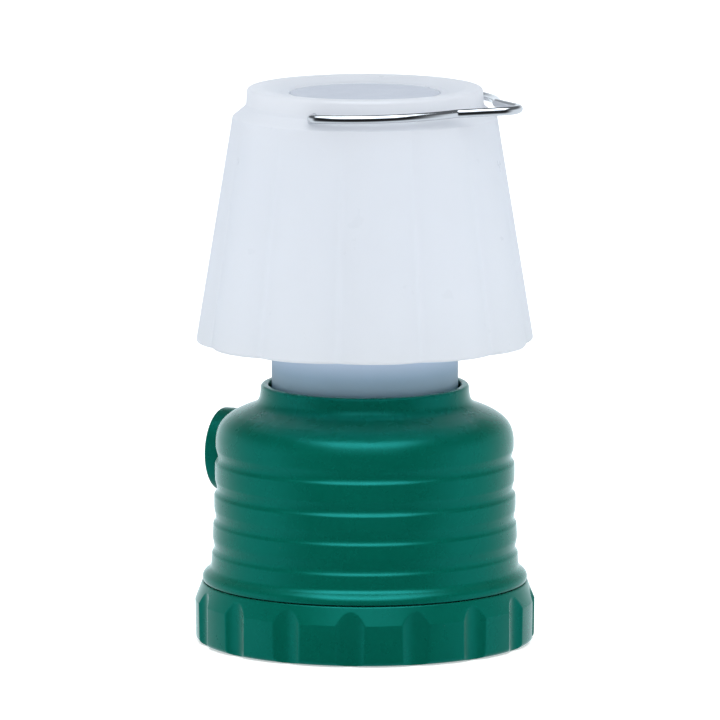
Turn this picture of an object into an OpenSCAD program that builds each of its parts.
// Small camping lantern with a fluted shade, a folding wire bail and a twist-off base.
// Origin: centre of the underside. +Z up, switch button towards -Y, bail pivots along X.

/* [Shade] */
// Outer radius of the shade near its lower edge
shade_r_low = 39.7; // [38.5:0.1:40]
// Outer radius of the shade where the skirt meets the shoulder
shade_r_high = 31.2; // [31:0.1:31.6]
// Wall thickness of the shade
shade_wall = 2.4; // [2.2:0.1:2.6]
// Number of convex lobes round the skirt
shade_lobes = 12; // [9:1:14]
// Depth of the cusps between the lobes at the lower edge
cusp_depth = 1.5; // [0.6:0.1:1.6]

/* [Body] */
// Outer radius of the body just above the flared foot
body_r = 36.1; // [35.9:0.1:36.4]
// Depth of the all-round grooves
groove_depth = 0.6; // [0.3:0.1:0.7]
// Outer radius of the collar round the light tube
collar_r = 24.5; // [24.3:0.1:24.8]

/* [Base] */
// Outer radius of the base cap
base_r = 40; // [39.6:0.1:40.4]
// Number of finger flutes round the base cap
flutes = 16; // [12:1:18]
// Depth of a finger flute
flute_depth = 1.2; // [0.6:0.05:1.3]

/* [Light tube] */
// Outer radius of the frosted tube
tube_r = 21.9; // [21.8:0.05:22]

/* [Bail] */
// Diameter of the bail wire
wire_d = 2; // [1.8:0.1:2]
// Radius of the bail's arc, to the wire's centre line
bail_r = 30.8; // [30.4:0.1:31.2]
// Distance of the hook's tip from the pivot axis, to the wire's centre line
hook_reach = 39; // [37.5:0.1:41]
// Angle from the hook's centre to where the arc kinks outward
kink_deg = 22.6; // [18:0.2:25]
// Tilt of the folded bail above level
bail_tilt = 1.2; // [1:0.1:3]

/* [Switch] */
// Radius of the round switch boss
boss_r = 9.9; // [9.6:0.1:10.2]
// Radius of the push button
button_r = 7.4; // [7:0.1:7.6]
// How far the button stands out of its boss
button_proud = 1.2; // [1.2:0.1:1.4]

/* [Hidden] */
$fn = 96;
hair = 0.02;          // gap between pieces that rest on each other
gap = 0.05;           // wider gap between neighbouring pieces
spring_wire_r = 0.3;
collar_turn = 20;     // turn of the short wire collars about their own axis

// ---------- helpers (profiles are [radius, z] points) ----------
function arc(x, z, radius, from, to, steps = 6) =
    [for (i = [0:steps]) let(angle = from + (to - from) * i / steps)
        [x + radius * cos(angle), z + radius * sin(angle)]];
function polar(radius, angle) = radius * [cos(angle), sin(angle), 0];

module revolve(profile) {
    rotate_extrude() polygon(profile);
}
module ring(outer, inner, bottom, top) {
    revolve([[inner, bottom], [outer, bottom], [outer, top], [inner, top]]);
}
// part of a ring, span degrees wide, centred on the angle centre
module ring_sector(outer, inner, bottom, top, span, centre = 0) {
    rotate([0, 0, centre - span / 2]) rotate_extrude(angle = span)
        polygon([[inner, bottom], [outer, bottom], [outer, top], [inner, top]]);
}
// copies of the children at each angle about Z
module around(angles, radius = 0, z = 0) {
    for (angle = angles) rotate([0, 0, angle]) translate([radius, 0, z]) children();
}
// children's +Z turned to -Y, level with the switch
module face_front(x = 0, y = 0) {
    translate([x, y, boss_z]) rotate([90, 0, 0]) children();
}
// pan-head screw pointing up, head underside at z = 0
module screw_up(shank_r, length, head_r, head_h) {
    tip_z = head_h + length;
    translate([0, 0, -head_h]) difference() {
        revolve(concat([[0, 0]], arc(head_r - 0.4, 0.4, 0.4, -90, 0, 4),
            [[head_r, head_h], [shank_r, head_h], [shank_r, tip_z - 0.5],
             [shank_r - 0.4, tip_z], [0, tip_z]]));
        // cross recess
        around([0, 90]) translate([-head_r * 0.55, -0.25, -0.1]) cube([head_r * 1.1, 0.5, 0.8]);
    }
}
// bent round wire in the XY plane, shortened by trim at both ends
module wire_arc(radius, wire_r, start, sweep, trim) {
    trim_deg = trim / radius * 180 / PI;
    rotate([0, 0, start + trim_deg]) rotate_extrude(angle = sweep - 2 * trim_deg)
        translate([radius, 0]) circle(r = wire_r);
}
// compression coil made of tilted half turns, each joint inside a short collar
module coil(radius, bottom, top, half_turns) {
    joint_r = spring_wire_r + 0.05;
    joint_len = 0.3;
    rise = (top - bottom - 2 * joint_r) / half_turns;
    tilt = asin(rise / 2 / radius);
    start_z = bottom + joint_r;
    for (i = [0:half_turns - 1]) translate([0, 0, start_z + (i + 0.5) * rise])
        rotate([0, 0, i * 180]) rotate([0, tilt, 0])
            wire_arc(radius, spring_wire_r, start = 0, sweep = 180, trim = 0.03);
    for (i = [0:half_turns]) rotate([0, 0, i * 180])
        translate([radius * cos(tilt), -joint_len / 2, start_z + i * rise])
            rotate([-90, 0, 0]) rotate([0, 0, collar_turn]) cylinder(r = joint_r, h = joint_len);
}

// ---------- base ----------
seam_z = 14.1;            // top of the base cap
body_bottom_z = seam_z + 0.3;
cap_bore_r = 36.35;
cap_floor_z = 1.2;        // underside of the cap inside its rim
cap_rim_z = 0.25;
pad_recess_r = 34;
flute_r = 5.9;
flute_start_deg = 20.3;
neck_r = 34.6;            // housing neck inside the cap
bayonet_angles = [90, 210, 330];

module base_cap() color([0.0, 0.42, 0.37]) {
    difference() {
        revolve(concat(
            [[0, cap_floor_z], [pad_recess_r, cap_floor_z], [pad_recess_r, cap_rim_z]],
            arc(base_r - 1.3, cap_rim_z + 1.2, 1.2, -90, 0, 6),
            [[base_r, 9.8]], arc(base_r - 2.02, seam_z - 0.45, 0.45, 23, 90, 4),
            [[cap_bore_r, seam_z], [cap_bore_r, 3.2]],
            arc(cap_bore_r - 0.8, 3.05, 0.8, 0, -90, 4), [[0, 2.25]]));
        // finger flutes
        for (i = [0:flutes - 1]) rotate([0, 0, flute_start_deg + i * 360 / flutes])
            translate([base_r - flute_depth + flute_r, 0, -1]) cylinder(r = flute_r, h = 20);
    }
    // inward bayonet lugs
    around(bayonet_angles) ring_sector(36.8, 35, 10.6, 12.8, span = 28);
}
// pad with three ring grooves in its underside
module foot_pad() color([0.12, 0.12, 0.13]) difference() {
    pad_r = pad_recess_r - 0.2;
    pad_top = cap_floor_z - gap;
    revolve(concat([[0, 0]], arc(pad_r - 0.5, 0.5, 0.5, -90, 0, 4),
        [[pad_r, pad_top], [0, pad_top]]));
    for (groove_r = [12, 20, 28]) ring(groove_r + 0.6, groove_r - 0.6, -0.1, 0.35);
}
module sealing_ring() color([0.08, 0.08, 0.09])
    ring(36.15, neck_r + gap, 13.3, body_bottom_z - hair);

// ---------- body ----------
collar_z = 60.8;          // top of the collar
neck_bottom_z = 4.6;
ledge_z = 54.2;           // housing underside over the light tube's flange
boss_z = 42.8;            // switch axis
boss_face = 37.4;         // boss face, distance from the Z axis
boss_turn = 37;           // turn of the boss about its own axis
post_face_y = -27.9;      // inner faces of the bracket's screw posts
bracket_screw_xs = [-12.6, 12.6];
chassis_screw_angles = [45, 135, 225, 315];
chassis_screw_pcr = 29;
flange_z = 45;            // underside of the chassis flange
flange_top = flange_z + 2;

// soft groove at height z: gentle above, a steep step out to the wider band below;
// above and below are the radii of the two bands
function groove(z, above, below, scale_by = 1) =
    let(valley = (above + below) / 2 - groove_depth * scale_by)
    [[below, z - 2.2], [below - 0.12 * scale_by, z - 1.5], [valley + 0.22 * scale_by, z - 0.75],
     [valley, z - 0.1], [valley + 0.08 * scale_by, z + 0.5], [above - 0.22 * scale_by, z + 1.3],
     [above - 0.05, z + 1.9], [above, z + 2.6]];

// outside of the body, foot to collar, and back down inside the collar: [radius, z]
body_profile = concat(
    [[neck_r, body_bottom_z], [body_r + 1.95, body_bottom_z], [body_r + 2.1, seam_z + 0.5],
     [body_r + 2.05, 15.1], [body_r + 1.75, 15.7], [body_r + 1.25, 16.2],
     [body_r + 0.5, 16.8], [body_r + 0.15, 17.3], [body_r + 0.05, 18.2]],
    groove(22.3, body_r - 0.25, body_r - 0.05, 0.8),
    groove(29.3, body_r - 0.6, body_r - 0.37, 0.8),
    groove(36.1, body_r - 0.88, body_r - 0.6),
    groove(43.6, body_r - 1.05, body_r - 0.88),
    [[35.03, 47.9], [34.85, 49.1], [34.4, 50.5], [33.85, 51.45], [33.1, 52.3], [32.1, 53.1],
     [30.7, 53.95], [28.9, 54.75], [27.2, 55.45], [26, 56.05], [25.2, 56.8], [24.75, 57.8],
     [collar_r, 59.2]],
    arc(collar_r - 0.95, collar_z - 0.75, 0.75, 10, 90, 4),
    arc(23.2, collar_z - 0.3, 0.3, 90, 180, 3),
    [[22.7, ledge_z]]);
// inside of the body, ledge to neck: [radius, z]
body_cavity = [[26.7, ledge_z], [27.6, 53.2], [29.6, 52.2], [31.4, 50.8], [32.6, 48.8],
    [33.1, 46], [33.2, 44], [33.7, 19.2], [32.6, 16.5], [32.6, neck_bottom_z]];

module housing() color([0.0, 0.38, 0.33]) {
    difference() {
        union() {
            revolve(concat([[neck_r, neck_bottom_z]], body_profile, body_cavity));
            // round switch boss, with a flat pad inside the wall
            face_front() rotate([0, 0, boss_turn])
                revolve(concat([[0, 31], [boss_r, 31]],
                    arc(boss_r - 0.6, boss_face - 0.6, 0.6, 0, 90, 4), [[0, boss_face]]));
            // screw posts for the switch bracket
            for (x = bracket_screw_xs) face_front(x, post_face_y) cylinder(r = 2.2, h = 3);
            // screw posts for the chassis
            around(chassis_screw_angles, chassis_screw_pcr, flange_top + gap)
                cylinder(r = 2.8, h = 5.4);
            // outward bayonet lugs and their stops
            around(bayonet_angles) {
                ring_sector(36.3, neck_r - 0.4, 8, 10.2, span = 30);
                ring_sector(36.0, neck_r - 0.4, 10, 12.8, span = 4, centre = -17);
            }
        }
        // button hole and screw holes
        face_front(0, -30) rotate([0, 0, boss_turn]) cylinder(r = button_r + gap, h = 12);
        for (x = bracket_screw_xs) face_front(x, -27) cylinder(r = 1.05, h = 3.6);
        around(chassis_screw_angles, chassis_screw_pcr, 46) cylinder(r = 1.25, h = 6.2);
    }
}

// ---------- switch ----------
bracket_t = 1.18;
bracket_front_y = post_face_y + hair;
switch_front_y = bracket_front_y + bracket_t + hair;

module switch_button() color([0.02, 0.27, 0.24]) face_front() difference() {
    crown = boss_face + button_proud;
    revolve(concat([[0, 29.7], [8.4, 29.7], [8.4, 30.9], [button_r, 30.9]],
        arc(button_r - 0.8, crown - 1.1, 0.8, 0, 90, 5), [[3, crown - 0.12], [0, crown]]));
    // hollow back, with a solid core for the plunger
    ring(6.4, 3.2, 29, 34.5);
}
module switch_plunger() color([0.9, 0.9, 0.88]) face_front(0, -24.3) cylinder(r = 1.6, h = 5.36);
module switch_body() color([0.15, 0.15, 0.16]) difference() {
    union() {
        translate([-6, switch_front_y, boss_z - 3.8]) cube([12, 5.1, 7.6]);
        // solder tags
        for (x = [-3.5, 2.5]) translate([x, -24.6, boss_z - 6]) cube([1, 0.5, 2.4]);
    }
    face_front(0, -22.7) cylinder(r = 1.65, h = 6);
}
module switch_bracket() color([0.75, 0.76, 0.78]) difference() {
    translate([-15, bracket_front_y, boss_z - 5]) cube([30, bracket_t, 10]);
    face_front(0, -26) cylinder(r = 2.2, h = 4);
    for (x = bracket_screw_xs) face_front(x, -26) cylinder(r = 1.15, h = 4);
}
module bracket_screws() color([0.8, 0.8, 0.82]) for (x = bracket_screw_xs)
    face_front(x, switch_front_y) screw_up(shank_r = 1.0, length = 3.6, head_r = 2.1, head_h = 1.4);

// ---------- power ----------
cavity_r = 18.9;          // bore of the chassis
sleeve_r = 21;            // chassis below the light tube
hat_r = 20.3;             // chassis inside the light tube
shoulder_z = 52.55;       // seat of the light tube
hat_ceiling_z = 62;
hat_top = 63.5;
board_screw_xs = [-9, 9];
cradle_r = 18.6;
low_disc_top = 4.15;
high_disc_bottom = 57.2;
high_disc_top = 58.6;
plate_t = 0.28;
low_plate_z = low_disc_top + hair;
high_plate_z = high_disc_bottom - hair - plate_t;
terminal_t = 0.3;
terminal_z = high_disc_top + hair;
cell_pcr = 10.9;
cell_r = 7.1;
cell_length = 50.45;
cells_up = [45, 225];
cells_down = [135, 315];
cell_up_z = 6.4;          // bottom of the cells that point up
low_contact_z = 4.48;     // bottom of the lower springs and of the cells that point down
cell_dip = 0.1;           // springs reach this far into the cells' hollow ends

module battery_chassis() color([0.13, 0.13, 0.14]) difference() {
    union() {
        revolve([[cavity_r, 3.4], [sleeve_r, 3.4], [sleeve_r, flange_z], [31.8, flange_z],
            [31.8, flange_top], [25.8, flange_top], [25.8, shoulder_z], [23.8, shoulder_z],
            [23.8, flange_top], [sleeve_r, flange_top], [sleeve_r, shoulder_z],
            [hat_r, shoulder_z], [hat_r, hat_top], [0, hat_top], [0, hat_ceiling_z],
            [cavity_r, hat_ceiling_z]]);
        // posts for the board screws
        for (x = board_screw_xs) translate([x, 0, 59.5]) cylinder(r = 2.2, h = 3);
    }
    for (x = board_screw_xs) translate([x, 0, 59]) cylinder(r = 0.85, h = 5);
    around(chassis_screw_angles, chassis_screw_pcr, 44) cylinder(r = 1.3, h = 4);
    // room for the switch
    translate([-16.5, -33, 44]) cube([33, 11.6, 4]);
    // wire channel up the side, and its wider lower end
    translate([-1.7, -22, 48]) cube([3.4, 2.65, 16]);
    translate([-2.2, -27, 46]) cube([4.4, 6, 7]);
}
module chassis_screws() color([0.8, 0.8, 0.82])
    around(chassis_screw_angles, chassis_screw_pcr, flange_z - hair)
        screw_up(shank_r = 1.2, length = 6.8, head_r = 2.4, head_h = 1.6);
// two discs joined by a hub and four fins
module battery_cradle() color([0.2, 0.2, 0.22]) difference() {
    fin_z = 4;
    fin_top = 57.3;
    union() {
        ring(cradle_r, 0, 2.35, low_disc_top);
        ring(cradle_r, 0, high_disc_bottom, high_disc_top);
        ring(3.4, 0, fin_z, fin_top);
        around([0:90:270]) translate([0, -0.4, fin_z]) cube([18, 0.8, fin_top - fin_z]);
    }
    // finger holes in the lower disc
    around([0:90:270], 14.5, 2) cylinder(r = 1.8, h = 2.6);
}
// round cell with a raised positive end, bottom at z = 0
module cell(up) {
    shoulder = cell_length - 1.05;
    mirror([0, 0, up ? 0 : 1]) translate([0, 0, up ? 0 : -cell_length])
        revolve(concat([[0, 0.2], [4.2, 0.2], [4.4, 0]],
            arc(cell_r - 0.5, 0.5, 0.5, -90, 0, 3),
            arc(cell_r - 0.5, shoulder - 0.5, 0.5, 0, 90, 3), [[2.75, shoulder]],
            arc(2.45, cell_length - 0.3, 0.3, 0, 90, 3), [[0, cell_length]]));
}
module battery_cells() color([0.72, 0.6, 0.25]) {
    around(cells_up, cell_pcr, cell_up_z) cell(true);
    around(cells_down, cell_pcr, low_contact_z) cell(false);
}
module cell_springs() color([0.78, 0.79, 0.8]) {
    around(cells_up, cell_pcr) coil(3, low_contact_z, cell_up_z + cell_dip, 4);
    around(cells_down, cell_pcr)
        coil(3, low_contact_z + cell_length - cell_dip, high_plate_z - 0.04, 4);
}
module cell_contact_plates() color([0.85, 0.83, 0.75])
    around(concat(cells_up, cells_down), cell_pcr)
        for (z = [low_plate_z, high_plate_z]) translate([-4, -4, z]) cube([8, 8, plate_t]);
// centre disc and outer ring on top of the cradle
module cradle_terminals() color([0.85, 0.83, 0.75]) {
    ring(4.5, 0, terminal_z, terminal_z + terminal_t);
    ring(17.2, 12.8, terminal_z, terminal_z + terminal_t);
}
module supply_springs() color([0.78, 0.79, 0.8]) {
    bottom = terminal_z + terminal_t + 0.03;
    top = hat_ceiling_z - 0.03;
    coil(2.6, bottom, top, 6);
    translate([0, 15, 0]) coil(1.8, bottom, top, 6);
}

// ---------- light ----------
tube_top = 126.15;
tube_ceiling_z = 124.2;
shade_screw_angles = [30, 150, 270];
shade_screw_pcr = 15.5;
board_z = hat_top + gap;
board_top = board_z + 1.6;
parts_z = board_top + hair;

module light_tube() color([0.8, 0.86, 0.92, 0.6]) difference() {
    flange_r = 26;
    bottom = shoulder_z + gap;
    bore_r = hat_r + 0.1;
    union() {
        revolve([[bore_r, bottom], [flange_r, bottom], [flange_r, ledge_z - gap],
            [tube_r, ledge_z - gap], [tube_r, 125.6], [tube_r - 0.6, tube_top], [0, tube_top],
            [0, tube_ceiling_z], [bore_r, tube_ceiling_z]]);
        // screw bosses under the closed top
        around(shade_screw_angles, shade_screw_pcr, 117) cylinder(r = 2.7, h = 8);
    }
    around(shade_screw_angles, shade_screw_pcr, 116) cylinder(r = 1.0, h = 11);
}
module led_board() color([0.92, 0.93, 0.92]) difference() {
    ring(18, 0, board_z, board_top);
    for (x = board_screw_xs) translate([x, 0, 63]) cylinder(r = 1.1, h = 3);
}
// square package with a domed lens
module led_emitter() color([0.95, 0.9, 0.5]) {
    translate([-2.5, -2.5, parts_z]) cube([5, 5, 0.9]);
    translate([0, 0, 66.0]) revolve(concat([[0, 0]], arc(0, 0, 1.9, 0, 90, 8)));
}
module board_components() color([0.1, 0.1, 0.1]) {
    for (x = [-3.5, 0.8, 5]) translate([x, 8.5, parts_z]) cube([2.6, 1.4, 0.7]);
    translate([-2.6, -11.5, parts_z]) cube([5, 4, 1.4]);
}
module led_screws() color([0.8, 0.8, 0.82]) for (x = board_screw_xs)
    translate([x, 0, parts_z]) rotate([180, 0, 0])
        screw_up(shank_r = 0.8, length = 5.2, head_r = 1.9, head_h = 1.2);
// hollow cone, point down, under the tube's closed top
module reflector_cone() color([0.93, 0.94, 0.95]) difference() {
    translate([0, 0, 108]) cylinder(r1 = 0.8, r2 = 12.2, h = tube_ceiling_z - gap - 108);
    translate([0, 0, 110]) cylinder(r1 = 0.1, r2 = 11, h = 16);
}
// insulated wire through a list of points, with a small ball at each bend
module lead(points, lead_r = 0.45) {
    inset = 0.2 * lead_r;
    for (i = [0:len(points) - 2]) {
        run = points[i + 1] - points[i];
        length = norm(run);
        translate(points[i]) rotate([0, acos(run[2] / length), atan2(run[1], run[0])])
            translate([0, 0, inset]) cylinder(r = lead_r, h = length - 2 * inset);
    }
    for (point = points) translate(point) sphere(r = lead_r * 1.08);
}
// from a solder tag up to the board, +X side: [x, y, z]
lead_path = [[3, -24.35, 36.2], [7.4, -24.35, 36.2], [7.4, -24.35, 47.2], [0.9, -24.3, 47.2],
    [0.62, -19.83, 50.5], [0.62, -19.83, 65.7], [0.9, -15, 65.7]];
module lead_wires() color([0.75, 0.1, 0.1]) for (side = [-1, 1])
    lead([for (point = lead_path) [side * point[0], point[1], point[2]]]);

// ---------- shade ----------
pivot_z = 126.7;
shade_bottom_z = 70.9;
shade_under_z = tube_top + gap;
disc_seat_z = 128.6;
disc_seat_r = 17.7;
screw_seat_z = 127.4;
cusp_start_deg = 15.6;

// outside, lower edge to the centre of the top: [radius, z]
shade_outer = concat(
    [[shade_r_low - 1.3, shade_bottom_z]], arc(shade_r_low - 0.9, 71.8, 0.9, -60, 0, 4),
    [[shade_r_high + 0.04, 123], [shade_r_high - 0.18, 123.9], [30.7, 124.45], [30.1, 124.95],
     [29.3, 125.5], [28.6, 126], [28.1, 126.45], [27.8, 127], [27.7, 129]],
    arc(26.5, 129.6, 1.2, 10, 80, 6),
    [[24.6, 130.8], [22.4, 130.55], [20.6, 130.1], [19.5, 129.75], [disc_seat_r, 129.65],
     [disc_seat_r, disc_seat_z], [0, disc_seat_z]]);
// inside, centre of the top to the lower edge, with a hanging rib: [radius, z]
shade_inner = [[0, shade_under_z], [19.6, shade_under_z], [19.6, 128.2], [22, 128.2],
    [22, 122.6], [23.4, 122.6], [23.4, 128.2], [25.6, 128.2], [25.7, 125.6], [28.6, 123.6],
    [shade_r_high - shade_wall, 121.8], [shade_r_low - shade_wall - 0.1, 72],
    [shade_r_low - shade_wall + 0.1, shade_bottom_z]];
// section of the cusp cutter, point inward: [radial, sideways]
cusp_outline = [[0, 0], [0.45, -1.8], [0.8, -4.4], [0.95, -8], [4, -8],
    [4, 8], [0.95, 8], [0.8, 4.4], [0.45, 1.8]];

module lampshade() color([0.9, 0.93, 0.95, 0.75]) difference() {
    cusp_lean = atan2(shade_r_low - 0.7 * cusp_depth - shade_r_high, 52);
    union() {
        difference() {
            revolve(concat(shade_outer, shade_inner));
            // cusps between the lobes, fading out towards the shoulder
            for (i = [0:shade_lobes - 1]) rotate([0, 0, cusp_start_deg + i * 360 / shade_lobes])
                translate([shade_r_low - cusp_depth, 0, shade_bottom_z])
                    rotate([0, -cusp_lean, 0]) translate([0, 0, -4])
                        linear_extrude(height = 62) polygon(cusp_outline);
        }
        // inner bosses that take the bail's ends
        around([0, 180], 22.9, pivot_z) rotate([0, 90, 0]) cylinder(r = 2.2, h = 3.4);
    }
    // bail pivot holes, each with a pocket for the wire's bend at its outer end
    around([0, 180], 24.2, pivot_z) rotate([0, 90, 0]) cylinder(r = wire_d / 2 + gap, h = 4);
    around([0, 180], 27.9, pivot_z) rotate([0, 90, 0]) cylinder(r = wire_d / 2 + 0.35, h = 2.4);
    // screw holes and counterbores
    around(shade_screw_angles, shade_screw_pcr, 125) cylinder(r = 1.15, h = 5);
    around(shade_screw_angles, shade_screw_pcr, screw_seat_z) cylinder(r = 2.6, h = 3);
}
module shade_screws() color([0.8, 0.8, 0.82])
    around(shade_screw_angles, shade_screw_pcr, screw_seat_z) rotate([180, 0, 0])
        screw_up(shank_r = 0.95, length = 7.6, head_r = 2.3, head_h = 1.15);
module top_disc() color([0.76, 0.79, 0.84]) {
    disc_r = disc_seat_r - 0.1;
    bottom = disc_seat_z + hair;
    revolve(concat([[0, bottom], [disc_r, bottom]],
        arc(disc_r - 0.3, 129.3, 0.3, 0, 90, 3), [[0, 129.6]]));
}

// ---------- bail ----------
// short collar a hair larger than the wire, over a joint between two runs
module bail_collar(place, heading) {
    translate(place) rotate([0, 0, heading]) rotate([0, 90, 0]) rotate([0, 0, collar_turn])
        translate([0, 0, -0.2]) cylinder(r = wire_d / 2 + 0.03, h = 0.4);
}
// +X half of the bail in its own plane: end pin, corner bend, arc, kink, straight side, half
// of the tip. Each run stops just short of the next.
module bail_half() {
    wire_r = wire_d / 2;
    bend_r = 2;
    tip_r = 5;
    trim = 0.05;
    pin_x = 24.4;
    corner_x = sqrt(pow(bail_r - bend_r, 2) - bend_r * bend_r);
    arc_start = atan2(bend_r, corner_x);
    arc_end = 90 - kink_deg;
    // centre of the kink's bend, then the line that touches both it and the tip's circle
    kink = polar(bail_r + bend_r, arc_end);
    to_tip = [-kink[0], hook_reach - tip_r - kink[1]];
    cross_deg = asin((tip_r + bend_r) / norm(to_tip));
    heading = atan2(to_tip[1], to_tip[0]) - cross_deg;
    side_len = norm(to_tip) * cos(cross_deg);
    turn = arc_end + 90 - heading;
    side_start = kink + polar(bend_r, heading + 90);

    translate([pin_x, 0, 0]) rotate([0, 90, 0]) cylinder(r = wire_r, h = corner_x - pin_x - trim);
    translate([corner_x, bend_r, 0]) wire_arc(bend_r, wire_r, -90, 90 + arc_start, trim);
    wire_arc(bail_r, wire_r, arc_start, arc_end - arc_start, trim);
    translate(kink) wire_arc(bend_r, wire_r, arc_end + 180 - turn, turn, trim);
    translate(side_start + polar(trim, heading)) rotate([0, 0, heading]) rotate([0, 90, 0])
        cylinder(r = wire_r, h = side_len - 2 * trim);
    translate([0, hook_reach - tip_r, 0]) wire_arc(tip_r, wire_r, heading - 90, 180 - heading, trim);

    bail_collar([corner_x, 0, 0], 0);
    bail_collar(polar(bail_r, arc_start), arc_start + 90);
    bail_collar(polar(bail_r, arc_end), arc_end + 90);
    bail_collar(side_start, heading);
    bail_collar(side_start + polar(side_len, heading), heading);
}
module bail_wire() color([0.85, 0.86, 0.88])
    translate([0, 0, pivot_z]) rotate([bail_tilt, 0, 0]) {
        bail_half();
        mirror([1, 0, 0]) bail_half();
        bail_collar([0, hook_reach, 0], 0);
    }

base_cap();
foot_pad();
sealing_ring();
housing();
switch_button();
switch_plunger();
switch_body();
switch_bracket();
bracket_screws();
battery_chassis();
chassis_screws();
battery_cradle();
battery_cells();
cell_springs();
cell_contact_plates();
cradle_terminals();
supply_springs();
light_tube();
led_board();
led_emitter();
board_components();
led_screws();
reflector_cone();
lead_wires();
lampshade();
shade_screws();
top_disc();
bail_wire();
